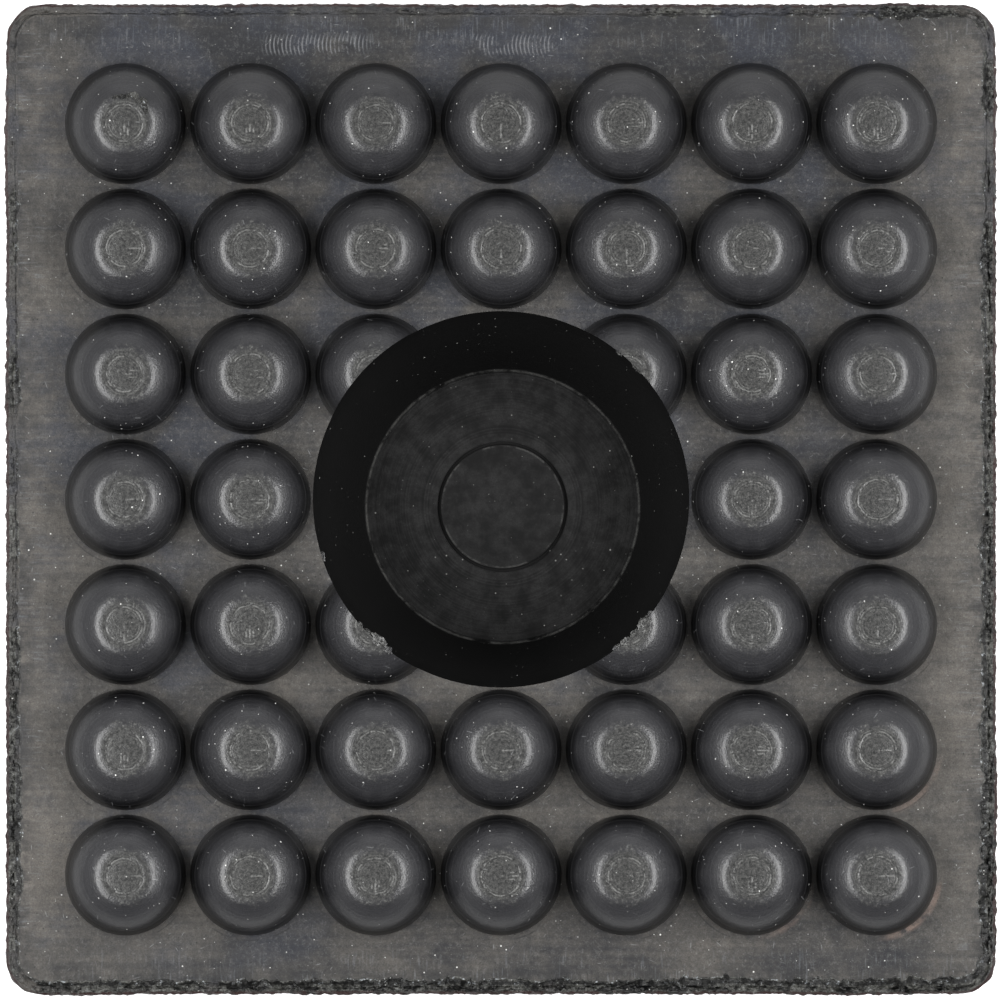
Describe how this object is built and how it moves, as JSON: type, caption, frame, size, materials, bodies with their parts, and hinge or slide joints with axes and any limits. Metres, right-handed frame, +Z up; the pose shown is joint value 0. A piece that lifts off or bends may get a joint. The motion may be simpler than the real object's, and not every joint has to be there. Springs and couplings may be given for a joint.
{
  "type": "rubber lift pad",
  "caption": "Square rubber pad with flat-topped dome studs round a tapered round recess, laid on a lift arm or jack to cushion and grip the load.",
  "frame": {"origin": "middle of the underside", "axes": "+Z up, out of the studs; X and Y along the sides, with the floor of the recess a little off the middle towards -Y"},
  "size_m": [0.12, 0.12, 0.03],
  "materials": {
    "rubber": "moulded black rubber, dull satin with a greyish bloom on the face"
  },
  "bodies": {
    "root": {"lift_pad": "rubber"}
  },
  "joints": []
}
